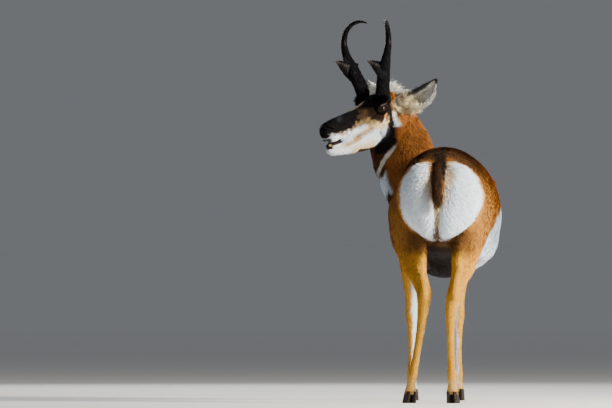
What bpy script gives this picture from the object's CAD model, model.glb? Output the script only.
"""A pronghorn buck looking back over its left side: skin, coat, horns, eyes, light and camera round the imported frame.

Shapes are made in the design frame (x to the animal's left, y to its tail) and moved by SHIFT at the end. Lengths
are in metres, and in millimetres where mm() or a pen of the head's side view takes them.
"""

import math

import bmesh
import bpy
import numpy as np
from mathutils import Matrix, Vector


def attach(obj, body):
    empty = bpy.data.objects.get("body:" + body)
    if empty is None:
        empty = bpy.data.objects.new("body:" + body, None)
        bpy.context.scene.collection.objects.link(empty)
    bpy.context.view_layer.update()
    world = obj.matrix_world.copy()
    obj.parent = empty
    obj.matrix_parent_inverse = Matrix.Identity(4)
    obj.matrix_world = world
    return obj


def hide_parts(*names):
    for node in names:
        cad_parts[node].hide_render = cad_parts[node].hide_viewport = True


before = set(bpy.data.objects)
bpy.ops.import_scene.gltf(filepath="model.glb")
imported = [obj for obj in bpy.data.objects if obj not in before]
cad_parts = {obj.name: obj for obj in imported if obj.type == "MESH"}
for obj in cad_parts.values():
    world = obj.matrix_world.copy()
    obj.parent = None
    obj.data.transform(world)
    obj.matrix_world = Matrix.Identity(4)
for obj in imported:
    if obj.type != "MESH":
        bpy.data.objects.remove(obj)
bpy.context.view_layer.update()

SHIFT = Vector((-0.08554, 0.09461, 0))
SIGNS = {"left": 1, "right": -1}


def mm(*rows):
    """Rows of millimetres, in metres."""
    return np.array(rows) / 1000


# Head pose and the places of its features, in its own axes: forward, left, up
HEAD_CENTRE = Vector((0.213, -0.45, 0.988))
HEAD_TURN = math.radians(34)
HEAD_PITCH = math.radians(15)
HEAD_LEFT = Vector((-math.sin(HEAD_TURN), math.cos(HEAD_TURN), 0))
LEVEL_FORWARD = Vector((math.cos(HEAD_TURN), math.sin(HEAD_TURN), 0))
HEAD_FORWARD = LEVEL_FORWARD * math.cos(HEAD_PITCH) - Vector((0, 0, math.sin(HEAD_PITCH)))
HEAD_UP = HEAD_FORWARD.cross(HEAD_LEFT)
HEAD_AXES = (HEAD_FORWARD, HEAD_LEFT, HEAD_UP)
EYE_PLACE = (-0.004, 0.0475, -0.001)
EYE_RADIUS = 0.0205
LID_HALF = (0.0172, 0.0112)
HORN_BASE = (-0.018, 0.054, 0.04)
EAR_BASE = (-0.092, 0.052, -0.01)
EAR_LENGTH = 0.15

# Trunk sections from rump to breast: y, x, top, widest, bottom, half width
TRUNK = mm(
    (442, 0, 735, 690, 640, 30),
    (425, 0, 782, 690, 592, 85),
    (385, -3, 816, 688, 560, 128),
    (315, -12, 845, 685, 540, 152),
    (220, -24, 858, 675, 518, 160),
    (110, -40, 853, 650, 480, 164),
    (0, -50, 844, 625, 442, 172),
    (-120, -46, 838, 615, 420, 164),
    (-230, -26, 842, 620, 415, 142),
    (-320, -2, 846, 625, 424, 122),
    (-400, 24, 815, 625, 450, 108),
    (-455, 42, 745, 620, 500, 88),
    (-490, 50, 660, 605, 560, 40),
)
# Neck sections from chest to skull: x, y, z, heading from -Y to +X in degrees, half width, dorsal, ventral
NECK = (
    (0.01, -0.3, 0.66, 8, 0.095, 0.165, 0.15),
    (0.068, -0.405, 0.735, 28, 0.09, 0.135, 0.13),
    (0.105, -0.45, 0.815, 52, 0.08, 0.115, 0.12),
    (0.126, -0.478, 0.885, 78, 0.07, 0.1, 0.104),
    (0.138, -0.488, 0.945, 100, 0.062, 0.09, 0.084),
    (0.15, -0.482, 0.995, 120, 0.054, 0.076, 0.064),
)
# Fore leg sections from blade to coronet: x, y, z, half width, half before, half behind
FORE_LEG = mm(
    (58, -275, 775, 26, 46, 46),
    (76, -305, 700, 44, 82, 85),
    (88, -335, 615, 52, 96, 100),
    (92, -335, 548, 46, 70, 84),
    (90, -322, 490, 37, 48, 60),
    (85, -320, 420, 29, 34, 40),
    (80, -324, 345, 21.5, 24.5, 26),
    (78, -326, 285, 22.5, 25, 21.5),
    (78, -323, 243, 16.5, 18, 19),
    (78, -323, 170, 13.5, 14.5, 16.5),
    (78, -325, 115, 15, 15.5, 19),
    (78, -330, 90, 18, 16.5, 21),
    (78, -342, 62, 16.5, 16, 17),
    (78, -353, 36, 22.5, 22, 22),
    (78, -358, 20, 22.5, 22, 22),
)
# Hind leg sections from hip to coronet: z, half width, half before, half behind
HIND_LEG = mm(
    (750, 45, 90, 110),
    (665, 70, 122, 165),
    (592, 62, 122, 178),
    (532, 50, 104, 172),
    (482, 41, 72, 130),
    (438, 35.5, 52, 78),
    (396, 28, 37, 44),
    (362, 26.5, 27.5, 30),
    (312, 20.5, 21.5, 23.5),
    (250, 15.8, 17, 18.5),
    (175, 14.2, 15, 16.5),
    (118, 15, 16, 18.5),
    (92, 18, 17, 20.5),
    (62, 16.2, 16.5, 17.5),
    (36, 22, 23, 23),
    (20, 22, 23, 23),
)
HIND_PLACES = {
    "left": mm(
        (55, 255), (84, 235), (92, 210), (94, 190), (84, 222), (73, 285),
        (53, 350), (43, 383), (46, 392), (54, 389), (66, 380), (76, 371),
        (81, 364), (86, 349), (88, 337), (89, 331),
    ),
    "right": mm(
        (-88, 255), (-116, 240), (-118, 220), (-110, 205), (-99, 242), (-88, 308),
        (-69, 376), (-57, 410), (-47, 419), (-45, 416), (-47, 407), (-49, 399),
        (-50, 392), (-51, 377), (-52, 365), (-52, 359),
    ),
}
TOE_OUT = {"left": math.radians(16), "right": math.radians(14)}
HOCK_HEIGHT = 0.362
HOCK_ROW = 7
# Heel sections beside the hock: outward, backward, up, half width, half depth
HEEL = mm((0, 4, -40, 10, 12), (0, 22, -4, 14, 17), (1, 26, 18, 13, 14), (5, 8, 44, 10.5, 13), (16, -44, 86, 12, 16))
# Skull and jaw sections along the head's axis: forward, top, widest, bottom, half width
SKULL = mm(
    (-114, 4, -15, -36, 20),
    (-100, 24, -18, -60, 42),
    (-66, 41, -16, -88, 55),
    (-25, 46, -12, -104, 59),
    (12, 38, -18, -108, 56),
    (45, 25, -26, -104, 47),
    (82, 17, -30, -92, 38),
    (122, 13, -30, -81, 32),
    (162, 10, -28, -71, 29.5),
    (193, 5, -26, -63, 28),
    (212, -3, -26, -56, 24),
    (221.5, -14, -28, -46, 15),
)
JAW = mm(
    (-34, -60, -85, -112, 36),
    (10, -56, -92, -126, 43),
    (52, -58, -96, -130, 38),
    (94, -58, -96, -128, 31),
    (130, -62, -98, -125, 25),
    (154, -75, -100, -121, 21.5),
    (178, -86, -101, -117, 19),
    (200, -86, -98, -112, 16.5),
    (214, -84, -93, -101, 10),
)
# Rounded masses of the head, mirrored: forward, left, up, then their radii
HEAD_MASSES = mm(
    (-4, 47.5, -1, 25, 25, 24),
    (-20, 52, 28, 35, 25, 21),
    (-88, 46, -8, 24, 22, 25),
    (-20, 38, -80, 40, 20, 36),
    (198, 15, -18, 19, 14, 15),
    (188, 13, -56, 24, 15, 11),
)
# Folds of the face in its side view, in mm: brow, tear groove, cheek bone, mouth corner, jaw line, nose bridge
FACE_FOLDS = (
    (0.0022, (22, 20), (-22, 24), 4, 4),
    (-0.002, (24, -12), (52, -26), 3, 4),
    (0.0022, (60, -40), (-20, -40), 5, 7),
    (-0.0018, (120, -66), (50, -58), 3, 4),
    (0.0012, (150, -60), (205, -50), 4, 4),
    (-0.0016, (75, 2), (165, -14), 5, 6),
)
# Edges of the markings: y and height on the flank, then forward and up on the head
FLANK_EDGE = mm(
    (-420, 430), (-330, 430), (-270, 470), (-200, 600), (-100, 648), (30, 648), (80, 615), (120, 560), (160, 500),
)
GOLD_EDGE = mm((-10, -64), (35, -60), (60, -46), (85, -31), (110, -28))
MASK_EDGE = mm(
    (-46, 10), (46, 9.2), (61, 9.8), (72, 4), (78.5, -13), (84.5, -22),
    (97.2, -28.8), (113.7, -34.8), (130.5, -40.6), (150, -42.3), (192, -35), (223, -40),
)
JAW_EDGE = mm((-30, -75), (15, -114), (30, -121.5), (66, -120), (100, -115), (125, -150))
# Up and forward, then backward and up
CHEEK_EDGE = mm((-125, 10), (-110, 1), (-85, -13), (-59, -21), (-20, -28), (20, -34))
EAR_CREAM_EDGE = mm((40, -4), (50, -18), (77, -39), (110, -47))
# Horn rows in level axes: forward, outward, up, half fore-and-aft, half sideways
HORN_BEAM = mm(
    (-6, -6, -30, 29, 19),
    (0, 0, 0, 28.5, 18.5),
    (11, 19, 46, 26, 16.5),
    (23, 43, 94, 24, 15),
    (29, 65, 134, 16.5, 12),
    (31, 79, 172, 12, 10.5),
    (29, 76, 209, 9.8, 9.2),
    (21, 57, 238, 8.4, 8.2),
    (8, 31, 252, 6.8, 6.8),
    (-2, 10, 252, 4.6, 4.6),
    (-8, -4, 246, 1.8, 1.8),
)
HORN_PRONG = mm(
    (14, 40, 80, 36, 12),
    (38, 43, 92, 28, 10),
    (60, 44, 104, 17.5, 8),
    (79, 43, 114, 8.5, 5.5),
    (93, 41, 119, 1.8, 1.6),
)
HORN_SNAG = mm(
    (40, 49, 100, 9, 6),
    (46, 50, 122, 6.5, 4.5),
    (50, 51, 140, 1.6, 1.4),
)
# Ear sections: share of its length, half width, half wrap in degrees, and how far its back stands off the axis
EAR_SECTIONS = (
    (0.0, 0.014, 165, 0.014),
    (0.12, 0.021, 140, 0.017),
    (0.26, 0.029, 98, 0.017),
    (0.42, 0.0325, 74, 0.014),
    (0.58, 0.0295, 64, 0.01),
    (0.74, 0.0225, 58, 0.0065),
    (0.88, 0.013, 52, 0.003),
    (0.96, 0.0065, 46, 0.0012),
    (1.0, 0.0022, 40, 0.0),
)
EAR_SAG = 0.016
EAR_STEPS = 33
EAR_TIPS = {
    "left": ((-0.006, -0.418, 1.088), (0.05, 0.95, -0.12)),
    "right": ((0.217, -0.656, 1.078), (0.75, 0.2, 0.35)),
}
# Where the black tip begins and is full, as shares of the ear's length, outside and then inside
EAR_TIP_BLACK = {"left": (0.66, 0.88, 0.88, 0.94), "right": (0.9, 0.97, 0.95, 0.98)}
# Tail sections: share of its length, half width, half thickness
TAIL_SECTIONS = (
    (0, 0.012, 0.012), (0.25, 0.0135, 0.011), (0.55, 0.013, 0.009), (0.85, 0.0085, 0.006), (1, 0.0025, 0.002),
)
# Claws: length and half width of each, and their height, spread and shift from the ground up
CLAW_SIZES = {"fore": (0.033, 0.0225), "hind": (0.0305, 0.021)}
CLAW_PROFILE = (
    (0, 1, -0.018), (0.003, 1.012, -0.0176), (0.006, 1, -0.0172),
    (0.02, 0.94, -0.0105), (0.036, 0.86, -0.0045), (0.04, 0.8, -0.003),
)
# The white patch on each side of the rump: height, inner edge and outer edge as shares of its reach
PATCH_REACH = {"left": 0.124, "right": 0.152}
PATCH_SECTIONS = (
    (0.548, 0.16, 0.26),
    (0.562, 0.12, 0.4),
    (0.585, 0.1, 0.62),
    (0.62, 0.11, 0.86),
    (0.66, 0.11, 0.98),
    (0.705, 0.11, 1.0),
    (0.75, 0.11, 0.9),
    (0.785, 0.12, 0.68),
    (0.806, 0.14, 0.32),
)
NECK_CUT = (Vector((0.022, -0.402, 0.74)), Vector((0.38, -0.82, 0.42)).normalized())
HEAD_CUT = (Vector((0.138, -0.495, 0.93)), Vector((0.774, 0.447, 0.447)).normalized())
NECK_BACK = -0.24
FLESH = ("torso", "neck", "rump_left", "rump_right")
CORONET_HEIGHT = 0.034
CORONET_SLOPE = math.radians(-8)
FEET = {
    "fore_left": (0.078, -0.353, 0.0),
    "fore_right": (-0.078, -0.353, 0.0),
    "hind_left": (0.088, 0.337, TOE_OUT["left"]),
    "hind_right": (-0.052, 0.365, -TOE_OUT["right"]),
}

# Coat colours, linear
TAN = np.array((0.38, 0.185, 0.045))
ORANGE = np.array((0.56, 0.225, 0.034))
GOLD = np.array((0.74, 0.4, 0.045))
BROWN = np.array((0.11, 0.045, 0.017))
DARK = np.array((0.022, 0.011, 0.007))
BLACK = np.array((0.005, 0.004, 0.005))
CREAM = np.array((0.8, 0.64, 0.33))
WHITE = np.array((0.77, 0.86, 1.0))
STRIPE_EDGE = (0.66, 0.46, 0.2)
THROAT = ORANGE * (0.56, 0.45, 0.66)
FACE_BROWN = (0.125, 0.075, 0.03)
BROW_BROWN = (0.052, 0.031, 0.016)
BRIDGE_RIM = CREAM * (0.58, 0.52, 0.6)
NOSE_SHINE = (0.022, 0.026, 0.036)
NOSE_EDGE = (0.035, 0.042, 0.05)
LID_GREY = (0.13, 0.11, 0.1)
EAR_CREAM = CREAM * (0.9, 0.96, 1.1)
RUST = (0.32, 0.105, 0.01)
WISP_RUST = (0.36, 0.12, 0.012)
MOUTH_DARK = (0.01, 0.006, 0.006)
TONGUE_DARK = (0.01, 0.005, 0.005)
TOOTH = (0.4, 0.33, 0.2)
HORN_DARK, HORN_WORN = (0.003, 0.0027, 0.0036), (0.2, 0.16, 0.13)
HOOF_DARK, HOOF_WORN = (0.022, 0.018, 0.016), (0.1, 0.075, 0.055)
EYE_RIM, IRIS, PUPIL = (0.012, 0.007, 0.005), (0.018, 0.009, 0.005), (0.004, 0.004, 0.006)

# Hair
DRAFT_SHARE = 1.0
DRAFT_WIDTH = 1.0
SHORT_TUFT, LONG_TUFT = (0, 0.5, 1), (0, 0.35, 0.7, 1)
ROOT_DEPTH = 0.0006
# Tufts to the square metre
BODY_HAIR, MORE_ON_LEGS, HEAD_HAIR, EAR_HAIR, TAIL_HAIR = 215000, 75000, 430000, 480000, 380000
# The skin is darker than the hair over it
BODY_SKIN_SHADE, SKIN_SHADE = 0.72, 0.8
BODY_VOXEL, HEAD_VOXEL, HORN_VOXEL = 0.0042, 0.0016, 0.0013
PIECE_TRIANGLES = 190000
HEAD_PIECE_TUFTS = 62000
HAIR_KEYS = ("roots", "normals", "places", "lies", "colours", "length", "width", "lift", "curve", "spread")

# Floor, light and camera
FLOOR_FADE = (6, 30)
FLOOR_NEAR = (0.8, 0.8, 0.79, 1)
WORLD_COLOUR = (0.82, 0.86, 0.92, 1)
WORLD_STRENGTH = 0.19
LIT_PLACE = Vector((0.05, 0.0, 0.65))
# Place, size, energy, colour
LIGHTS = {
    "key": ((-4.2, 2.3, 2.2), 1.2, 880, (1.0, 0.92, 0.78)),
    "fill": ((3.6, 3.4, 1.4), 2.6, 5, (0.72, 0.85, 1.0)),
    "top": ((0.2, -0.8, 3.6), 2.6, 55, (1.0, 0.98, 0.95)),
    "back": ((1.0, -4.2, 2.4), 2.4, 80, (0.95, 0.97, 1.0)),
}
CAMERA_DISTANCE = 50
VIEW_WIDTH = 2.04
VIEW_CENTRE = (0.4367, 0.44, 0.665)


# Shapes

def linked(name, data):
    made = bpy.data.objects.new(name, data)
    bpy.context.scene.collection.objects.link(made)
    return made


def object_from(bm, name):
    bmesh.ops.recalc_face_normals(bm, faces=bm.faces)
    mesh = bpy.data.meshes.new(name)
    bm.to_mesh(mesh)
    bm.free()
    return linked(name, mesh)


def applied(piece):
    graph = bpy.context.evaluated_depsgraph_get()
    mesh = bpy.data.meshes.new_from_object(piece.evaluated_get(graph))
    piece.modifiers.clear()
    piece.data = mesh
    return piece


def softened(piece, rounds):
    modifier = piece.modifiers.new("Soften", "SMOOTH")
    modifier.factor = 0.5
    modifier.iterations = rounds
    return modifier


def smooth_rows(rows, count):
    """The rows read at even steps along a smooth curve through them, with its ends kept."""
    rows = np.array(rows, float)
    padded = np.vstack([2 * rows[0] - rows[1], rows, 2 * rows[-1] - rows[-2]])
    made = []
    for place in np.linspace(0, len(rows) - 1, count):
        i = min(int(place), len(rows) - 2)
        t = place - i
        a, b, c, d = padded[i : i + 4]
        slope_b, slope_c = (c - a) / 2, (d - b) / 2
        square, cube = t * t, t * t * t
        made.append(
            b * (2 * cube - 3 * square + 1)
            + slope_b * (cube - 2 * square + t)
            + c * (3 * square - 2 * cube)
            + slope_c * (cube - square)
        )
    return np.array(made)


def ring(centre, side, up, half_side, rise, drop, points):
    made = []
    for i in range(points):
        angle = 2 * math.pi * i / points
        c, s = math.cos(angle), math.sin(angle)
        made.append(centre + side * (half_side * c) + up * ((rise if s > 0 else drop) * s))
    return made


def bridged(rings, open_rings=False, closed_path=False):
    """Quads between each ring of points and the next."""
    bm = bmesh.new()
    loops = [[bm.verts.new(point) for point in points] for points in rings]
    for near, far in zip(loops, loops[1:] + loops[:1] * closed_path):
        for i in range(len(near) - open_rings):
            j = (i + 1) % len(near)
            bm.faces.new((near[i], near[j], far[j], far[i]))
    return bm, loops


def loft(name, rings):
    bm, loops = bridged(rings)
    bm.faces.new(loops[0])
    bm.faces.new(loops[-1])
    return object_from(bm, name)


def swept(name, rows, sides, rings=60, points=48):
    rows = smooth_rows(rows, rings)
    tangents = np.gradient(rows[:, :3], axis=0)
    made = []
    for row, side, tangent in zip(rows, smooth_rows(sides, rings), tangents):
        along = Vector(tangent).normalized()
        across = (Vector(side) - along * along.dot(Vector(side))).normalized()
        sizes = [max(size, 0.0008) for size in row[3:6]]
        made.append(ring(Vector(row[:3]), across, across.cross(along), *sizes, points=points))
    return loft(name, made)


def add_ball(bm, centre, axes, radii, round_count, high_count):
    turn = Matrix([[axis[i] * radius for axis, radius in zip(axes, radii)] for i in range(3)])
    place = Matrix.Translation(centre) @ turn.to_4x4()
    bmesh.ops.create_uvsphere(bm, u_segments=round_count, v_segments=high_count, radius=1, matrix=place)


def ellipsoid(name, centre, axes, radii, round_count=32, high_count=21):
    bm = bmesh.new()
    add_ball(bm, centre, axes, radii, round_count, high_count)
    return object_from(bm, name)


def in_head(forward, left, up):
    return HEAD_CENTRE + HEAD_FORWARD * forward + HEAD_LEFT * left + HEAD_UP * up


def trunk():
    across, up = Vector((1, 0, 0)), Vector((0, 0, 1))
    return loft("trunk", [
        ring(Vector((x, y, widest)), across, up, half, top - widest, widest - bottom, 64)
        for y, x, top, widest, bottom, half in smooth_rows(TRUNK, 90)
    ])


def neck():
    rows = [(*row[:3], *row[4:]) for row in NECK]
    headings = [math.radians(row[3]) for row in NECK]
    return swept("neck_form", rows, [(math.cos(angle), math.sin(angle), 0) for angle in headings])


def leg_form(rows, turn):
    side = Vector((math.cos(turn), math.sin(turn), 0))
    back = Vector((-math.sin(turn), math.cos(turn), 0))
    return loft("leg_form", [
        ring(Vector((x, y, z)), side, back, half, behind, before, 36)
        for x, y, z, half, before, behind in smooth_rows(rows, 110)
    ])


def fore_leg(sign):
    return leg_form([(sign * row[0], *row[1:]) for row in FORE_LEG], 0)


def hind_leg(side):
    sign = SIGNS[side]
    rows = [(*place, *sizes) for place, sizes in zip(HIND_PLACES[side], HIND_LEG)]
    hock_x, hock_y = HIND_PLACES[side][HOCK_ROW]
    heel = [
        (hock_x + sign * out, hock_y + back, HOCK_HEIGHT + up, half, deep, deep)
        for out, back, up, half, deep in HEEL
    ]
    return [leg_form(rows, sign * TOE_OUT[side]), swept("heel", heel, [(1, 0, 0)] * len(HEEL), rings=30, points=24)]


def head_loft(name, sections, rings):
    return loft(name, [
        ring(in_head(forward, 0, widest), HEAD_LEFT, HEAD_UP, max(half, 0.002), top - widest, widest - bottom, 56)
        for forward, top, widest, bottom, half in smooth_rows(sections, rings)
    ])


def head_forms():
    forms = [head_loft("skull", SKULL, 70), head_loft("jaw", JAW, 60)]
    for sign in (1, -1):
        for forward, left, up, *radii in HEAD_MASSES:
            forms.append(ellipsoid("mass", in_head(forward, sign * left, up), HEAD_AXES, radii))
    return forms


def fused(name, forms, voxel, smoothing):
    bm = bmesh.new()
    for form in forms:
        bm.from_mesh(form.data)
        bpy.data.objects.remove(form, do_unlink=True)
    whole = object_from(bm, name)
    remesh = whole.modifiers.new("Remesh", "REMESH")
    remesh.mode = "VOXEL"
    remesh.voxel_size = voxel
    softened(whole, smoothing)
    return applied(whole)


def kept_side(piece, point, normal, behind=None):
    """The piece on the side of the plane that normal points to. The cut edge stays open, under the coat."""
    bm = bmesh.new()
    bm.from_mesh(piece.data)
    faces = [face for face in bm.faces if behind is None or face.calc_center_median().y < behind]
    geometry = list({part for face in faces for part in (*face.verts, *face.edges)}) + faces
    bmesh.ops.bisect_plane(bm, geom=geometry, plane_co=point, plane_no=normal, clear_inner=True)
    bm.to_mesh(piece.data)
    bm.free()


# Numbers over many points at once

def rise(value, low, high):
    """0 to 1 as value goes from low to high, smoothly. It falls where low is the larger."""
    share = np.clip((value - low) / (high - low), 0, 1)
    return share * share * (3 - 2 * share)


def span(value, *edges):
    """1 between the middle two of four edges, and 0 outside the outer two."""
    return rise(value, *edges[:2]) * rise(value, *edges[:1:-1])


def most(*values):
    return np.maximum.reduce(values)


def edge_at(value, edge):
    """The height of a drawn edge, given as pairs, at each value."""
    return np.interp(value, *edge.T)


def blended(colour, other, weight):
    colour = np.asarray(colour)
    return colour + (other - colour) * weight[..., None]


class Paint:
    """Colours laid one over the other, on many points at once."""

    def __init__(self, colour):
        self.colour = colour

    def lay(self, colour, weight):
        self.colour = blended(self.colour, colour, weight)


def unit(vectors):
    return vectors / np.maximum(np.linalg.norm(vectors, axis=-1, keepdims=True), 1e-9)


def ripple(points, size, seed):
    """Smooth noise of about -1 to 1 whose bumps are about that size, in metres."""
    dice = np.random.default_rng(seed)
    total = np.zeros(len(points))
    for _ in range(9):
        wave = unit(dice.normal(size=3)) * dice.uniform(0.6, 1.6) * 2 * math.pi / (size * 2)
        total += np.sin(points @ wave + dice.uniform(0, 2 * math.pi))
    return total / 3.2


def head_place(points):
    """Forward, left and up of points in the head's axes."""
    offset = points - np.array(HEAD_CENTRE)
    return [offset @ np.array(axis) for axis in HEAD_AXES]


def beyond(points, plane):
    """How far points lie past that plane of the neck, in metres. The trunk behind the neck never counts."""
    past = (points - np.array(plane[0])) @ np.array(plane[1])
    return np.minimum(past, NECK_BACK - points[:, 1])


NECK_ROWS = smooth_rows([(*row[:3], math.radians(row[3]), *row[4:]) for row in NECK], 50)
NECK_ALONG = unit(np.gradient(NECK_ROWS[:, :3], axis=0))


def neck_place(points):
    """Where points lie about the neck, from -1 at the throat to 1 at the nape, and its path's direction."""
    nearest = np.zeros(len(points), int)
    best = np.full(len(points), 1e9)
    for i, (row, along) in enumerate(zip(NECK_ROWS, NECK_ALONG)):
        offset = points - row[:3]
        away = np.abs(offset @ along) + 0.15 * np.linalg.norm(offset, axis=1)
        closer = away < best
        nearest[closer], best[closer] = i, away[closer]
    rows, along = NECK_ROWS[nearest], NECK_ALONG[nearest]
    across = np.stack([np.cos(rows[:, 3]), np.sin(rows[:, 3]), np.zeros(len(points))], axis=1)
    across = unit(across - along * (across * along).sum(axis=1, keepdims=True))
    front = ((points - rows[:, :3]) * np.cross(across, along)).sum(axis=1)
    return -front / np.where(front > 0, rows[:, 5], rows[:, 6]), along


def trunk_place(points):
    """Centre, top, widest, bottom and half width of the trunk beside the points."""
    table = TRUNK[::-1]
    return [np.interp(points[:, 1], table[:, 0], table[:, i]) for i in range(1, 6)]


def patch_share(points):
    """How far inside the white rump patch the points lie, in metres, below 0 outside."""
    heights, near, far = np.array(PATCH_SECTIONS).T
    x, y, z = points.T
    reach = np.where(x > 0, PATCH_REACH["left"], PATCH_REACH["right"])
    inner = np.interp(z, heights, near) * reach * rise(z, 0.61, 0.69)
    outer = np.interp(z, heights, far) * reach
    wide = np.minimum(np.abs(x) - inner, outer - np.abs(x))
    tall = np.minimum(z - heights[0], heights[-1] - z)
    return np.minimum(np.minimum(wide, tall), (y - 0.3) * 0.5)


# Markings, the same for skin and coat

def leg_places(points):
    """Inward and backward place of points in their leg, 1 at its surface, and whether it is a hind leg."""
    x, y, z = points.T
    hind = y > -0.05
    on_left = x > -0.012

    def read_at(heights, column):
        return np.interp(z, heights[::-1], column[::-1])

    left, right = ([read_at(HIND_LEG[:, 0], HIND_PLACES[side][:, i]) for i in (0, 1)] for side in ("left", "right"))
    fore_x, fore_y, _, *fore_sizes = (read_at(FORE_LEG[:, 2], column) for column in FORE_LEG.T)
    leg_x = np.where(hind, np.where(on_left, left[0], right[0]), np.sign(x) * fore_x)
    leg_y = np.where(hind, np.where(on_left, left[1], right[1]), fore_y)
    half, before, behind = (
        np.where(hind, read_at(HIND_LEG[:, 0], column), fore)
        for column, fore in zip(HIND_LEG.T[1:], fore_sizes)
    )
    inward = np.where(np.where(hind, on_left, x > 0), leg_x - x, x - leg_x) / half
    back = y - leg_y
    return inward, back / np.where(back > 0, behind, before), hind


def leg_colour(points, wobble):
    """Gold outside and white on the inner side, on the fore legs also behind."""
    z = points[:, 2]
    inward, back, hind = leg_places(points)
    coat = Paint(ORANGE)
    coat.lay(GOLD, 0.8 * rise(z, 0.6, 0.36))
    coat.lay(GOLD, 0.7 * rise(inward, -0.3, 0.7) * hind)
    coat.lay(BROWN, 0.3 * rise(-back - np.abs(inward) * 0.6, 0.3, 0.9))
    white_at = np.where(hind, inward - 0.75 * back, 0.75 * inward + 0.7 * back)
    white_from = np.where(hind, 0.8 + 1.6 * rise(z, 0.34, 0.43), 0.66)
    coat.lay(WHITE, rise(white_at + wobble * 25, white_from - 0.12, white_from + 0.12))
    coat.lay(CREAM, 0.35 * rise(z, 0.11, 0.05))
    coat.lay(BROWN, 0.6 * rise(0.044 - z, 0, 0.008))
    return coat.colour


def rump_colour(points, patch, wobble):
    """The white of the rump, creamy at its rim and tan beside the stripe."""
    x, y, z = points.T
    white = Paint(WHITE)
    white.lay(CREAM, 0.55 * rise(patch, 0.01, 0) * rise(z, 0.62, 0.75))
    white.lay(STRIPE_EDGE, 0.7 * rise(np.abs(x - stripe_lean(z)) + wobble, 0.06, 0.022) * rise(z, 0.63, 0.74))
    return white.colour


def stripe_lean(z):
    return -0.012 * rise(z, 0.7, 0.79)


def throat_colour(points, broad, wobble):
    """Orange above, dark brown and two white bands on the throat."""
    x, y, z = points.T
    high, _ = neck_place(points)
    coat = Paint(blended(THROAT, TAN * 0.7, 0.3 * rise(broad, -0.5, 1)))
    coat.lay(BROWN * 0.8, 0.8 * rise(ripple(points, 0.0046, 6), 0.2, 0.9))
    coat.lay(GOLD * 0.8, 0.35 * rise(ripple(points, 0.0042, 7), 0.5, 1.2))
    coat.lay(BROWN, 0.3 * rise(high, 0.85, 1.05))
    band = z - (0.735 + 0.1 * (high + 1))
    low = -high + wobble * 5 + 0.34 * rise(band, -0.02, 0.02) + 1.2 * rise(x, 0.185, 0.205) * rise(z, 0.77, 0.8)
    coat.lay(BROWN * 0.6, rise(low, 0, 0.36) * rise(z, 0.66, 0.7) * 0.94)
    first = 0.0115 - np.abs(band) + wobble * 0.6
    coat.lay(CREAM * 0.4 + WHITE * 0.45, rise(first, -0.003, 0.004) * rise(-high + wobble * 4, -0.34, -0.22))
    second = 0.03 - np.abs(z - (0.7 + 0.05 * (high + 1))) + wobble
    coat.lay(WHITE, rise(second, -0.003, 0.005) * rise(-high + wobble * 5, 0.1, 0.25))
    return coat.colour


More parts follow.
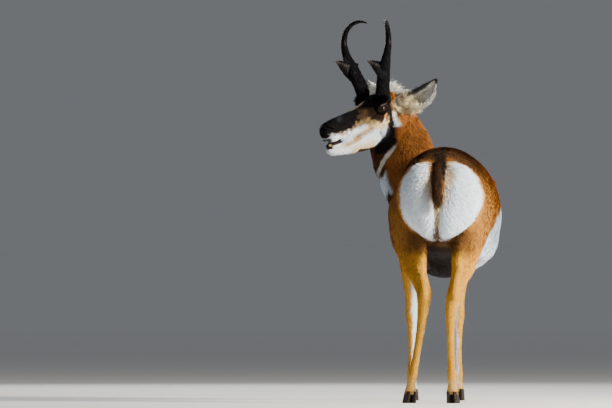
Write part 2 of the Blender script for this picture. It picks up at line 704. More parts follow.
def body_colour(points):
    x, y, z = points.T
    centre, top, *_ = trunk_place(points)
    wobble = ripple(points, 0.03, 3) * 0.006 + ripple(points, 0.01, 4) * 0.0025
    broad = ripple(points * (1, 0.5, 1), 0.05, 5)
    deep = top - z
    off_spine = np.abs(x - centre) + wobble
    coat = Paint(blended(TAN, ORANGE * 0.85, 0.5 * rise(deep, 0.1, 0.2) * (0.8 + 0.2 * broad)))
    coat.lay(BROWN, 0.88 * rise(deep + wobble * 1.5 + 0.01 * broad, 0.135, 0.03))
    coat.lay(DARK, 0.35 * rise(off_spine, 0.035, 0.01) * rise(y, -0.35, 0.1) * rise(-deep, -0.05, -0.01))
    coat.lay(leg_colour(points, wobble), rise(z, 0.57, 0.47))
    # White lower flank and belly, with the dark groin and midline
    under = rise(edge_at(y, FLANK_EDGE) - z + wobble * 1.6, -0.004, 0.009) * rise(z, 0.398, 0.412) * rise(y, 0.15, 0.12)
    under = under * (1 - rise(np.abs(x), 0.05, 0.065) * rise(-y, 0.25, 0.28))
    groin = rise(0.565 - z, -0.01, 0.02) * rise(z, 0.42, 0.44)
    groin = groin * rise(np.abs(x + 0.01), 0.075, 0.045) * span(y, 0.06, 0.1, 0.13, 0.18)
    coat.lay(WHITE, most(under, groin))
    shade = rise(np.abs(x + 0.012) + wobble, 0.105, 0.06) * span(y, -0.12, 0.04, 0.2, 0.27)
    coat.lay(DARK * 0.7, 0.97 * shade * rise(0.575 - z, 0, 0.03) * rise(z, 0.41, 0.43))
    midline = rise(off_spine, 0.104, 0.07) * rise(0.5 - z, 0, 0.03) * rise(z, 0.4, 0.41)
    coat.lay(DARK * 0.7, 0.97 * midline * span(y, -0.34, -0.2, 0.1, 0.16))
    # Darker haunch under the patch
    haunch = rise(y, 0.15, 0.3) * rise(np.abs(z - 0.545) + wobble, 0.075, 0.02)
    coat.lay(BROWN * 0.6, 0.85 * haunch * rise(np.abs(x + 0.01), 0.15, 0.08))
    # Rump patch with an orange rim, and the brown stripe down its middle
    patch = patch_share(points) - 0.005 + wobble * 0.3
    coat.lay(ORANGE * 1.05, 0.5 * rise(patch, -0.022, -0.004) * rise(z, 0.56, 0.6))
    coat.lay(rump_colour(points, patch, wobble), rise(patch, -0.003, 0.003))
    behind = rise(y, 0.3, 0.36)
    wide = 0.0165 + 0.003 * rise(z, 0.72, 0.8) - 0.0095 * rise(0.672 - z, 0, 0.05)
    stripe = rise(wide - np.abs(x - stripe_lean(z)) + wobble * 0.5, -0.002, 0.004) * rise(z, 0.575, 0.59)
    coat.lay(blended(DARK * 1.6, CREAM * 0.72, rise(0.672 - z + wobble, 0, 0.012)), stripe * behind)
    gap_half = 0.0015 + 0.0075 * rise(0.615 - z, 0, 0.045)
    gap = rise(np.abs(x) + wobble * 0.3, gap_half + 0.004, gap_half) * rise(0.655 - z, 0, 0.03)
    coat.lay(BROWN * 0.7, 0.85 * gap * rise(z, 0.548, 0.556) * behind)
    in_neck = rise(beyond(points, NECK_CUT), -0.05, 0.03) * rise(z, 0.6, 0.66)
    return blended(coat.colour, throat_colour(points, broad, wobble), in_neck)


def side_pen(forward, up):
    """A pen for the side view of the head: 1 along a line through places in mm, and 0 past its width."""
    def line(start, end, width, soft):
        start, end = np.array(start) / 1000, np.array(end) / 1000
        along = end - start
        place = np.stack([forward, up], axis=1) - start
        share = np.clip(place @ along / (along @ along), 0, 1)
        away = np.linalg.norm(place - share[:, None] * along, axis=1)
        return rise(away, width / 1000 + soft / 1000, width / 1000 - soft / 1000)

    return line


def head_colour(points, behind):
    """Markings of the head. Behind holds the neck's colours, which begin past the black line of the cheek."""
    forward, left, up = head_place(points)
    line = side_pen(forward, up)
    wobble = ripple(points, 0.012, 8) * 0.0022 + ripple(points, 0.005, 9) * 0.0014
    fleck = ripple(points, 0.0045, 10)
    side = np.abs(left)
    aside = rise(side, 0.02, 0.03)
    beside_eye = rise(side, 0.03, 0.04)
    level = up + wobble * 2
    coat = Paint(blended(WHITE, CREAM, 0.35 * rise(fleck, 0, 1)))
    # Gold under and before the eye, brown where it meets the mask and the eye
    gold = rise(up - edge_at(forward, GOLD_EDGE) + wobble * 2.2, -0.012, 0.01)
    coat.lay(GOLD * 0.45 + CREAM * 0.5, gold * (0.7 + 0.3 * rise(fleck, -0.6, 0.6)))
    coat.lay(FACE_BROWN, 0.85 * rise(level, -0.052, -0.034))
    coat.lay(BROW_BROWN, 0.95 * rise(level, -0.03, -0.012))
    coat.lay(DARK * 0.9, 0.9 * rise(level, -0.034, -0.024) * rise(0.056 - forward + wobble * 2, 0, 0.014))
    coat.lay(CREAM * 0.85, 0.8 * rise(-up, 0.092, 0.108) * span(forward, 0.02, 0.05, 0.12, 0.15))
    coat.lay(TAN * 0.85, 0.95 * line((104, -77), (46, -58), 9.5, 6) * (0.55 + 0.45 * rise(fleck, -0.5, 0.3)))
    coat.lay(GOLD * 0.5 + CREAM * 0.5, 0.6 * line((157, -82), (150, -100), 6, 6) * rise(fleck, -0.8, 0.2))
    coat.lay(GOLD * 0.7, 0.75 * line((74, -68), (44, -53), 8, 6) * rise(fleck, -0.4, 0.4))
    coat.lay(BROWN * 1.1, 0.75 * line((88, -77), (82, -72), 5, 6) * rise(fleck, -0.6, 0.2))
    coat.lay(GOLD * 0.7, 0.8 * line((142, -90), (98, -81), 6.5, 6))
    # Black mask over muzzle and brow, and round the eye, with a paler rim on the far side of the bridge
    over = up - edge_at(forward, MASK_EDGE)
    blur = 1 + 2.2 * span(forward, 0.055, 0.07, 0.092, 0.105)
    mask = rise(over / blur + wobble, -0.003, 0.005) * rise(forward, -0.049, -0.042)
    coat.lay(BLACK * 0.9, mask * 0.99)
    fringe = rise(over + 0.0105 + wobble * 2.5, -0.003, 0.005) * (1 - mask) * span(forward, 0.08, 0.1, 0.165, 0.19)
    coat.lay(TAN * 0.8, 0.7 * fringe * rise(fleck, -1, 0.2))
    coat.lay(BRIDGE_RIM, 0.85 * line((80, 14.5), (26, 24.5), 6, 3) * span(-left, -0.008, 0, 0.01, 0.02))
    coat.lay(NOSE_SHINE, 0.9 * line((153, 1), (142, 8), 6, 5))
    round_eye = np.hypot((forward - 0.006) / 1.08, up + 0.007) + wobble
    socket = most(rise(round_eye, 0.037, 0.0275), line((10, -20), (8, -36), 11, 6))
    coat.lay(DARK * 0.8, 0.97 * socket * rise(side, 0.022, 0.03))
    from_eye = np.hypot((forward - EYE_PLACE[0]) / 1.25, up - EYE_PLACE[2])
    coat.lay(BLACK, rise(from_eye + wobble, 0.024, 0.0185) * beside_eye)
    lid = most(line((4, 12.5), (-16, 14), 1.6, 1.6), line((-16, 14), (-24, 3), 1.6, 1.6))
    coat.lay(LID_GREY, 0.85 * lid * beside_eye)
    pale = most(line((-14.5, -22), (-2, -44), 3.5, 2.5), line((-2, -44), (12, -64), 3.5, 3))
    coat.lay(blended(ORANGE * 1.2, WHITE, rise(fleck, 0.1, 0.7)), 0.92 * pale * aside)
    # The neck's colours past the black line, and the cream fur before and under the ear
    past = rise(edge_at(up, CHEEK_EDGE) - forward + wobble * 0.5, -0.002, 0.003)
    under_jaw = edge_at(forward, JAW_EDGE) - up
    under = rise(under_jaw, -0.002, 0.003)
    coat.lay(behind, most(past * rise(-up, 0.012, 0.026), under))
    coat.lay(BROWN * 0.45, under * rise(under_jaw, 0.022, 0.014) * rise(forward, 0.005, 0.02))
    cream = rise(level - edge_at(-forward, EAR_CREAM_EDGE), -0.006, 0.006) * rise(-forward + wobble, 0.04, 0.048)
    coat.lay(EAR_CREAM, 0.97 * cream * (0.85 + 0.15 * rise(fleck, -0.6, 0.6)))
    strip = most(line((-50, 50), (-47, 18), 7.5, 3), line((-47, 18), (-40, -24), 6, 3.5))
    rust = blended(RUST, BROWN * 0.8, rise(0.016 - up + 3 * wobble, 0, 0.02) * 0.8)
    coat.lay(rust, 0.97 * strip * rise(side, 0.015, 0.025))
    coat.lay(DARK, 0.95 * line((-60, 34), (-50, -26), 3.2, 2.4) * aside)
    coat.lay(BROWN, 0.85 * line((-94, -48), (-104, -52), 3, 4.5) * aside)
    spot = most(line((-45, -26), (-44, -50), 6.6, 4), line((-33, -60), (-43, -64), 10, 5)) * aside
    spot_white = blended(CREAM * 0.4 + WHITE * 0.6, WHITE, rise(-up, 0.042, 0.056))
    coat.lay(spot_white, 0.97 * spot * rise(fleck + 1.1, 0, 0.6))
    coat.lay(GOLD, 0.75 * line((-56, -44), (-50, -66), 3.5, 3) * rise(fleck, -0.6, 0.4) * aside)
    # The black line, thin beside the eye and wide under the jaw
    thin = most(line((-33, 4), (-32.5, -25), 6.8, 2.5), line((-32.5, -25), (-27.5, -62), 6.6, 2.2))
    wide = most(
        line((-16, -78), (1, -108), 12, 3.5),
        line((1, -108), (34, -136), 15, 3.5),
        line((-20.5, -62), (-16, -78), 8.5, 3),
    )
    coat.lay(BLACK * 1.3, most(thin * aside, wide * rise(side, 0.006, 0.014)) * 0.97)
    # Nose, mouth and the gap of the jaws
    coat.lay(NOSE_EDGE, 0.95 * rise(forward + wobble, 0.198, 0.206) * span(up, -0.066, -0.062, -0.052, -0.046))
    coat.lay(BLACK, rise(forward + wobble, 0.205, 0.211) * rise(up, -0.05, -0.045))
    gap = rise(forward, 0.152, 0.16) * span(up, -0.0895, -0.087, -0.0645, -0.062) * rise(side, 0.0205, 0.0175)
    coat.lay(MOUTH_DARK, gap * most(rise(up, -0.08, -0.077), rise(forward, 0.19, 0.196)))
    # White crown behind and between the horns
    crown_from = 0.057 + 0.009 * rise(side, 0.026, 0.036)
    crown = most(
        rise(-forward, crown_from, crown_from + 0.006),
        rise(-forward, 0.018, 0.028) * rise(side, 0.032, 0.024),
    ) * rise(up - 0.01 * rise(side, 0.03, 0.04), 0.016, 0.026)
    return blended(coat.colour, blended(CREAM, WHITE, np.clip(0.7 + 0.3 * fleck, 0, 1)), 0.96 * crown)


def coat_colour(points):
    body = body_colour(points)
    forward = head_place(points)[0]
    near = rise(points[:, 2], 0.8, 0.84) * (points[:, 1] < NECK_BACK) * rise(forward, -0.125, -0.105)
    return blended(body, head_colour(points, body), near)


# Skin

def filled(collection, field, width, kind, table):
    """One field of every item of a mesh's collection, as rows of that width."""
    values = np.empty(len(collection) * width, kind)
    collection.foreach_get(field, values)
    return values.reshape(-1, width).astype(table)


def read(mesh):
    """Points, normals and triangles."""
    mesh.calc_loop_triangles()
    return (
        filled(mesh.vertices, "co", 3, np.float32, float),
        filled(mesh.vertex_normals, "vector", 3, np.float32, float),
        filled(mesh.loop_triangles, "vertices", 3, np.int32, np.int32),
    )


def unwrapped_corners(mesh):
    """The places of the triangles' corners in the unwrap."""
    loops = filled(mesh.loop_triangles, "loops", 3, np.int32, np.int32)
    return filled(mesh.uv_layers["OFBake"].data, "uv", 2, np.float32, np.float32)[loops]


def write_points(mesh, points):
    mesh.vertices.foreach_set("co", points.astype(np.float32).ravel())
    mesh.update()


def write_colour(mesh, colours):
    """Coat colours, one for each point or one for them all."""
    layer = mesh.color_attributes.new("coat", "FLOAT_COLOR", "POINT")
    full = np.ones((len(mesh.vertices), 4), np.float32)
    full[:, :3] = np.clip(colours, 0, 1)
    layer.data.foreach_set("color", full.ravel())


def smooth_shaded(mesh):
    mesh.polygons.foreach_set("use_smooth", np.ones(len(mesh.polygons), bool))


def unwrap(piece):
    """Smooth shading and an unwrap of the piece's own shape."""
    smooth_shaded(piece.data)
    piece.data.uv_layers.new(name="OFBake")
    bpy.ops.object.select_all(action="DESELECT")
    bpy.context.view_layer.objects.active = piece
    piece.select_set(True)
    bpy.ops.object.mode_set(mode="EDIT")
    bpy.ops.mesh.select_all(action="SELECT")
    bpy.ops.uv.smart_project(angle_limit=math.radians(66), island_margin=0.002)
    bpy.ops.object.mode_set(mode="OBJECT")
    piece.select_set(False)


def under_coat(points, normals):
    """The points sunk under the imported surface: deep on the body, little on legs and face."""
    depth = 0.0022 + 0.0033 * rise(points[:, 2], 0.4, 0.6) + 0.0025 * rise(patch_share(points), -0.01, 0.01)
    depth = depth * (1 - 0.75 * rise(beyond(points, HEAD_CUT), -0.03, 0.02))
    return points - normals * depth[:, None]


def body_skin():
    forms = [trunk(), neck(), fore_leg(1), fore_leg(-1), *hind_leg("left"), *hind_leg("right")]
    body = fused("skin_body", forms, BODY_VOXEL, 10)
    group = body.vertex_groups.new(name="joins")
    for vertex in body.data.vertices:
        group.add([vertex.index], min(max((vertex.co.z - 0.44) / 0.08, 0), 1), "REPLACE")
    softened(body, 68).vertex_group = group.name
    applied(body)
    body.vertex_groups.clear()
    kept_side(body, HEAD_CUT[0] + HEAD_CUT[1] * 0.004, -HEAD_CUT[1], NECK_BACK)
    points, normals, _ = read(body.data)
    points = under_coat(points, normals)
    x, y, z = points.T
    lobe = rise(patch_share(points), 0.002, 0.04) * rise(y, 0.3, 0.38)
    groove = rise(np.abs(x), 0.024, 0.008) * rise(y, 0.36, 0.4) * rise(z, 0.57, 0.6) * rise(0.7 - z, 0, 0.05)
    points = points + normals * (0.008 * lobe - 0.007 * groove)[:, None]
    points[:, 2] = np.maximum(points[:, 2], 0.03)
    write_points(body.data, points)
    return body


def eye_frame(sign):
    """Centre of the eye, the way it looks, and its long and short direction."""
    centre = in_head(EYE_PLACE[0], sign * EYE_PLACE[1], EYE_PLACE[2])
    outward = (HEAD_LEFT * sign + HEAD_FORWARD * 0.3 + HEAD_UP * 0.06).normalized()
    along = (HEAD_FORWARD - HEAD_UP * 0.16 - outward * HEAD_FORWARD.dot(outward)).normalized()
    return centre, outward, along, outward.cross(along)


def about_eye(points, sign):
    """The eye's centre, offsets from it, how far they lie to its front, and 1 at the edge of its opening."""
    centre, outward, along, across = (np.array(vector) for vector in eye_frame(sign))
    offset = points - centre
    almond = np.hypot((offset @ along) / LID_HALF[0], (offset @ across) / LID_HALF[1])
    return centre, offset, offset @ outward, almond


def head_skin():
    head = fused("skin_head", [neck(), *head_forms()], HEAD_VOXEL, 18)
    kept_side(head, HEAD_CUT[0] - HEAD_CUT[1] * 0.022, HEAD_CUT[1])
    points, normals, _ = read(head.data)
    points = under_coat(points, normals)
    forward, left, up = head_place(points)
    line = side_pen(forward, up)
    side = np.abs(left)
    lift = sum(height * line(*places) for height, *places in FACE_FOLDS) * rise(side, 0.01, 0.018)
    # Nostrils: a slanting slit with a raised wing behind it
    slit = line((192.5, -20.5), (208.5, -11), 2.2, 2.2) * rise(side, 0.009, 0.014)
    wing = line((185, -19), (201, -6), 3, 3) * rise(side, 0.009, 0.014)
    lift += 0.0016 * wing * (1 - slit) - 0.0055 * slit
    # Mouth line behind the open part
    lift -= 0.0026 * line((104, -69), (152, -76.5), 1.2, 1.6) * rise(side, 0.012, 0.016)
    points = points + normals * lift[:, None]
    # Eye openings: the skin dips behind the eye inside the lids and stands proud of it at their rims
    sunk, proud = EYE_RADIUS - 0.004, EYE_RADIUS + 0.0016
    for sign in (1, -1):
        centre, offset, facing, almond = about_eye(points, sign)
        reach = np.linalg.norm(offset, axis=1)
        inside = rise(almond, 1.02, 0.86)
        rim = span(almond, 0.86, 1.02, 1.35, 1.9)
        raised = np.maximum(proud, np.minimum(reach, proud + 0.004))
        target = reach * (1 - inside - rim) + sunk * inside + raised * rim
        near = (facing > 0) & (reach < 0.05)
        scale = np.where(near, target / np.maximum(reach, 1e-6), 1)
        points = centre + offset * scale[:, None]
    write_points(head.data, points)
    return head


# Coat

def lie_of_body(points):
    x, y, z = points.T
    haunch = rise(y, 0.06, 0.26) * rise(z, 0.82, 0.58)
    shoulder = rise(-y, 0.16, 0.32) * rise(z, 0.8, 0.58)
    lie = blended((0, 1, -0.22), (0, 0.42, -1), most(haunch, shoulder))
    lie = blended(lie, (0, 0.15, -1), rise(-y, 0.38, 0.46) * rise(z, 0.8, 0.7))
    lie = blended(lie, (0, 0.06, -1), rise(z, 0.54, 0.4))
    # The rump's white hair fans out from the tail
    fan = np.stack([np.sign(x) * (0.25 + np.abs(x) * 9), np.full(len(x), -0.15), -0.95 + (z - 0.7) * 3.2], axis=1)
    lie = blended(lie, unit(fan), rise(patch_share(points), -0.012, 0.006))
    return blended(lie, -neck_place(points)[1] + (0, 0, -0.35), rise(beyond(points, NECK_CUT), -0.06, 0.05))


def lie_of_head(points):
    forward, left, up = head_place(points)
    lie = -np.array(HEAD_FORWARD) + np.outer(np.sign(left) * 0.16, np.array(HEAD_LEFT))
    lie = lie - np.outer(0.28 * rise(-up, 0, 0.08) + 0.15, np.array(HEAD_UP))
    return blended(lie, -neck_place(points)[1] + (0, 0, -0.3), rise(-forward, 0.07, 0.13))


def sampled(piece, density, dice):
    """Roots spread over a piece at that many to the square metre, with their normals and places in the unwrap."""
    points, normals, triangles = read(piece.data)
    corners = unwrapped_corners(piece.data)
    a, b, c = (points[triangles[:, i]] for i in range(3))
    area = np.linalg.norm(np.cross(b - a, c - a), axis=1) / 2
    total = (area * density((a + b + c) / 3)).cumsum()
    count = int(total[-1])
    picked = np.searchsorted(total, np.sort(dice.uniform(0, total[-1], count)))
    picked = np.minimum(picked, len(triangles) - 1)
    u, v = dice.uniform(size=(2, count))
    flip = u + v > 1
    u[flip], v[flip] = 1 - u[flip], 1 - v[flip]
    shares = np.stack([1 - u - v, u, v], axis=1)[:, :, None]
    roots, facing, places = (
        (values * shares).sum(axis=1)
        for values in (points[triangles[picked]], normals[triangles[picked]], corners[picked])
    )
    return roots, unit(facing), places


def laid_flat(lies, normals):
    return unit(lies - normals * (lies * normals).sum(axis=1, keepdims=True))


def tufts(name, hair, dice, sections=SHORT_TUFT):
    """A mesh of flat, tapered, bent tufts. Curve is the skin's own, and spread that of directions."""
    roots, normals, places, lies, colours, length, width, lift, curve, spread = (hair[key] for key in HAIR_KEYS)
    count = len(roots)
    lies = laid_flat(lies, normals)
    across = np.cross(normals, lies)
    turn = dice.normal(0, 1, count) * spread
    lies = lies * np.cos(turn)[:, None] + across * np.sin(turn)[:, None]
    across = np.cross(normals, lies)
    roll = dice.normal(0, 0.42, count)
    flat = across * np.cos(roll)[:, None] + normals * np.sin(roll)[:, None]
    length = length * dice.uniform(0.72, 1.2, count)
    width = width * DRAFT_WIDTH * dice.uniform(0.75, 1.2, count)
    lift = lift * dice.uniform(0.5, 1.25, count)
    sway = dice.normal(0, 0.1, count) * length
    per = 2 * len(sections) - 1
    points, tints, spots = np.empty((count, per, 3)), np.empty((count, per, 3)), np.empty((count, per, 2))
    streaks = ripple(roots * (1, 0.25, 0.6), 0.009, 90) * 0.04 + ripple(roots * (1, 0.4, 0.8), 0.028, 91) * 0.03
    contrast = 1.6 - 1.08 * np.clip(colours.mean(axis=1) / 0.8, 0, 1)
    tone = 1 + (dice.normal(0, 0.095, count) + streaks) * contrast
    warmth = dice.normal(0, 0.03, count)
    own = colours * (tone[:, None] + warmth[:, None] * (1, 0, -1))
    for i, share in enumerate(sections):
        height = lift * (1.5 * share - 0.5 * share * share) - curve * (length * share) ** 2 / 2 - ROOT_DEPTH * (i == 0)
        middle = roots + lies * (length * share)[:, None]
        middle = middle + normals * height[:, None] + across * (sway * share * share)[:, None]
        half = width / 2 * (0.8 + 0.5 * share if share < 0.4 else 1.35 * (1 - share) ** 0.6)
        tint = own * ((1 - 0.34 * contrast) + 0.5 * contrast * share)[:, None]
        for j, sign in ((2 * i, 1), (2 * i + 1, -1)) if share < 1 else ((-1, 0),):
            points[:, j] = middle + flat * (half * sign)[:, None]
            tints[:, j] = tint
            spots[:, j] = places + (0.0012 * sign, 0.003 * share - 0.0015)
    faces = []
    for a in range(0, per - 3, 2):
        faces += [(a, a + 1, a + 3), (a, a + 3, a + 2)]
    faces = np.array([*faces, (per - 3, per - 2, per - 1)])
    triangles = (np.arange(count)[:, None, None] * per + faces[None]).reshape(-1, 3)
    mesh = bpy.data.meshes.new(name)
    mesh.vertices.add(count * per)
    mesh.loops.add(triangles.size)
    mesh.loops.foreach_set("vertex_index", triangles.astype(np.int32).ravel())
    mesh.polygons.add(len(triangles))
    mesh.polygons.foreach_set("loop_start", np.arange(0, triangles.size, 3, dtype=np.int32))
    mesh.vertices.foreach_set("co", points.astype(np.float32).ravel())
    mesh.update(calc_edges=True)
    smooth_shaded(mesh)
    write_colour(mesh, tints.reshape(-1, 3))
    layer = mesh.uv_layers.new(name="OFBake")
    spots = np.clip(spots.reshape(-1, 2)[triangles.ravel()], 0, 1)
    layer.data.foreach_set("uv", spots.astype(np.float32).ravel())
    return linked(name, mesh)


def split_tufts(name, hair, chosen, limit, dice, sections=SHORT_TUFT):
    """Tufts in as many even pieces as keep each within the limit."""
    groups = max(1, math.ceil(len(chosen) / limit))
    parts = [chosen[i::groups] for i in range(groups)]
    return [
        tufts(f"{name}_{i + 1}", {key: hair[key][part] for key in HAIR_KEYS}, dice, sections)
        for i, part in enumerate(parts)
    ]


def scattered_colour(roots, normals, lies, length, jitter, dice):
    """Colour read near the middle of each tuft, a little scattered, so that markings meet like hair."""
    middle = np.minimum(length, 0.016) * 0.55 * (length < 0.028)
    scatter = dice.normal(0, 1, (len(roots), 3)) * jitter[:, None]
    return coat_colour(roots + laid_flat(lies, normals) * middle[:, None] + scatter)


def body_coat(skin, dice):
    write_colour(skin.data, coat_colour(read(skin.data)[0]) * BODY_SKIN_SHADE)

    def density(at):
        z = at[:, 2]
        thick = BODY_HAIR + MORE_ON_LEGS * rise(z, 0.55, 0.38)
        thick = thick * (1 + 0.6 * rise(patch_share(at), 0, 0.02))
        return DRAFT_SHARE * thick * rise(z, 0.031, 0.034) * rise(beyond(at, HEAD_CUT), 0.002, -0.004)

    roots, normals, places = sampled(skin, density, dice)
    x, y, z = roots.T
    leg = rise(z, 0.56, 0.38)
    low = rise(z, 0.3, 0.05)
    patch = rise(patch_share(roots), -0.01, 0.008)
    high, _ = neck_place(roots)
    in_neck = rise(beyond(roots, NECK_CUT), -0.04, 0.04)
    centre, _, _, bottom, half = trunk_place(roots)
    belly = rise(bottom + 0.1 - z, 0, 0.08) * (1 - leg)
    # The fringe that hangs from the lower flank, and a cowlick on the right hip
    fringe = span(y, -0.26, -0.18, 0.05, 0.1) * rise(0.575 - z, 0, 0.05) * rise(z, 0.445, 0.475)
    fringe = fringe * rise(np.abs(x - centre) / half, 0.4, 0.62) * (1 - leg * (z < 0.4))
    hip = (x < 0) * rise(np.hypot(z - 0.735, (y - 0.15) / 2.5), 0.016, 0.006)
    length = 0.015 - 0.0065 * leg - 0.003 * low + 0.003 * patch + 0.01 * belly
    length = length + in_neck * (0.004 + 0.006 * rise(high, 0.3, 0.9)) + 0.036 * fringe + 0.014 * hip
    out_down = np.stack([np.sign(x - centre) * 0.7, np.full(len(x), 0.4), np.full(len(x), -0.66)], axis=1)
    lies = blended(lie_of_body(roots), out_down, fringe)
    jitter = 0.0022 - 0.0012 * patch - 0.0008 * leg
    hair = {
        "roots": roots, "normals": normals, "places": places, "lies": lies,
        "colours": scattered_colour(roots, normals, lies, length, jitter, dice),
        "length": length,
        "width": 0.0021 - 0.0006 * leg + 0.0001 * patch - 0.0003 * in_neck,
        "lift": 0.0044 - 0.0027 * leg + 0.004 * patch + 0.0035 * in_neck + 0.013 * fringe + 0.017 * hip,
        "curve": 4 + 20 * leg + 8 * low + 4 * in_neck,
        "spread": 0.2 + 0.04 * patch + 0.1 * in_neck,
    }
    free = np.ones(len(roots), bool)
    pieces = []
    for name, inside in (
        ("coat_rump", patch > 0.3),
        ("coat_neck", (patch <= 0.3) & (beyond(roots, NECK_CUT) > 0)),
        ("coat_fore_legs", (z < 0.47) & (y < 0)),
        ("coat_hind_legs", (z < 0.52) & (y > 0.1)),
        ("coat_trunk", free.copy()),
    ):
        chosen = np.flatnonzero(inside & free)
        free[chosen] = False
        sections = LONG_TUFT if name == "coat_rump" else SHORT_TUFT
        pieces += split_tufts(name, hair, chosen, PIECE_TRIANGLES // (2 * len(sections) - 3), dice, sections)
    return pieces


def head_coat(skin, dice):
    write_colour(skin.data, coat_colour(read(skin.data)[0]) * SKIN_SHADE)

    def density(at):
        forward, left, up = head_place(at)
        nose = rise(forward, 0.203, 0.212) * rise(up, -0.05, -0.044)
        mouth = rise(forward, 0.152, 0.16) * span(up, -0.09, -0.086, -0.066, -0.06) * rise(np.abs(left), 0.021, 0.016)
        bare = [nose, mouth]
        for sign in (1, -1):
            _, _, facing, almond = about_eye(at, sign)
            base = np.array(in_head(HORN_BASE[0], sign * HORN_BASE[1], HORN_BASE[2]))
            bare.append((facing > 0) * rise(almond, 1.16, 1.06))
            bare.append(rise(np.linalg.norm(at - base, axis=1), 0.016, 0.01))
        free = np.prod(1 - np.array(bare), axis=0)
        return DRAFT_SHARE * HEAD_HAIR * free * rise(beyond(at, HEAD_CUT), -0.02, -0.012)

    roots, normals, places = sampled(skin, density, dice)
    forward, left, up = head_place(roots)
    line = side_pen(forward, up)
    side = np.abs(left)
    back = -forward
    behind = rise(back, 0.02, 0.09)
    crown_from = 0.054 + 0.009 * rise(side, 0.026, 0.036)
    crown = most(rise(back, crown_from, crown_from + 0.006), rise(back, 0.014, 0.026) * rise(side, 0.034, 0.024))
    crown = crown * rise(up, 0.012, 0.026) * rise(side, 0.06, 0.05) * rise(back, 0.108, 0.094)
    locks = crown * rise(back, 0.1, 0.08) * ripple(roots, 0.0042, 12)
    brow = line((26, 26), (-4, 34), 10, 5) * rise(side, 0.034, 0.044)
    wisp = line((-49, 42), (-46.5, 14), 7, 3) * rise(side, 0.028, 0.036)
    ruff = rise(np.hypot(forward + 0.073, up - 0.008), 0.018, 0.01) * rise(side, 0.03, 0.04)
    off_crown = 1 - crown
    length = 0.0062 + 0.0068 * behind + 0.004 * rise(-up, 0.09, 0.12) + 0.03 * crown - 0.002 * rise(forward, 0.12, 0.2)
    length = length + 0.011 * locks - 0.016 * crown * rise(back, 0.078, 0.1) + 0.008 * brow
    length = length + 0.012 * wisp * off_crown + 0.008 * ruff * off_crown
    lift = 0.0013 + 0.0016 * behind + 0.027 * crown + 0.01 * crown * rise(back, 0.082, 0.066)
    lift = lift + 0.012 * brow + 0.01 * locks - 0.014 * crown * rise(back, 0.076, 0.096)
    lies = blended(lie_of_head(roots), np.array(HEAD_UP) - 0.15 * np.array(HEAD_FORWARD), wisp)
    coat = Paint(scattered_colour(roots, normals, lies, length, 0.001 + 0.0018 * behind, dice))
    coat.lay(CREAM * 0.5 + WHITE * 0.5, 0.8 * ruff)
    coat.lay(WISP_RUST, 0.9 * wisp)
    hair = {
        "roots": roots, "normals": normals, "places": places, "lies": lies, "colours": coat.colour,
        "length": length,
        "width": 0.00125 + 0.0004 * behind + 0.0006 * crown,
        "lift": lift + 0.006 * wisp + 0.012 * ruff * off_crown,
        "curve": 14 - 6 * behind,
        "spread": 0.17 + 0.22 * crown,
    }
    return split_tufts("coat_head", hair, np.arange(len(roots)), HEAD_PIECE_TUFTS, dice)


# Materials

def fur_material(name, roughness=0.62, grain=260.0, bump=0.25, specular=0.05, sheen=0.01):
    """Coat colour from the markings, broken up by fine noise, with a little sheen."""
    material = bpy.data.materials.new(name)
    material.use_nodes = True
    nodes, links = material.node_tree.nodes, material.node_tree.links
    shader = nodes["Principled BSDF"]
    shader.inputs["Roughness"].default_value = roughness
    shader.inputs["Specular IOR Level"].default_value = specular
    shader.inputs["Sheen Weight"].default_value = sheen
    shader.inputs["Sheen Roughness"].default_value = 0.45
    coat = nodes.new("ShaderNodeAttribute")
    coat.attribute_name = "coat"
    place = nodes.new("ShaderNodeTexCoord")
    noise = nodes.new("ShaderNodeTexNoise")
    noise.inputs["Scale"].default_value = grain
    noise.inputs["Detail"].default_value = 3
    levels = nodes.new("ShaderNodeMapRange")
    for socket, value in (("From Min", 0.3), ("From Max", 0.7), ("To Min", 0.8), ("To Max", 1.16)):
        levels.inputs[socket].default_value = value
    scale = nodes.new("ShaderNodeVectorMath")
    scale.operation = "SCALE"
    links.new(place.outputs["Object"], noise.inputs["Vector"])
    links.new(noise.outputs["Fac"], levels.inputs["Value"])
    links.new(coat.outputs["Color"], scale.inputs[0])
    links.new(levels.outputs["Result"], scale.inputs["Scale"])
    links.new(scale.outputs["Vector"], shader.inputs["Base Color"])
    if bump:
        relief = nodes.new("ShaderNodeBump")
        relief.inputs["Strength"].default_value = bump
        relief.inputs["Distance"].default_value = 0.001
        links.new(noise.outputs["Fac"], relief.inputs["Height"])
        links.new(relief.outputs["Normal"], shader.inputs["Normal"])
    return material


FUR = fur_material("coat_fur")
SKIN = fur_material("skin_under_coat", 0.75, 420.0, 0.6)
HORN = fur_material("horn_sheath", 0.34, 140.0, 0.1, 0.03, 0)
HOOF = fur_material("hoof_horn", 0.34, 140.0, 0.1, 0.03, 0)
EYE = fur_material("eye_wet", 0.03, 90.0, 0, 0.12, 0)
MOUTH = fur_material("mouth_wet", 0.55, 90.0, 0, 0.08, 0)


def settle(piece, material, slot, *nodes):
    """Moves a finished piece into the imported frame, dresses it and says what it stands for."""
    piece.data.transform(Matrix.Translation(SHIFT))
    piece.data.materials.clear()
    piece.data.materials.append(material)
    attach(piece, "root")
    if nodes:
        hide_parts(*nodes)


def painted(piece, colours, material, slot, *nodes):
    """A smooth piece with its colours, settled."""
    write_colour(piece.data, colours)
    smooth_shaded(piece.data)
    settle(piece, material, slot, *nodes)


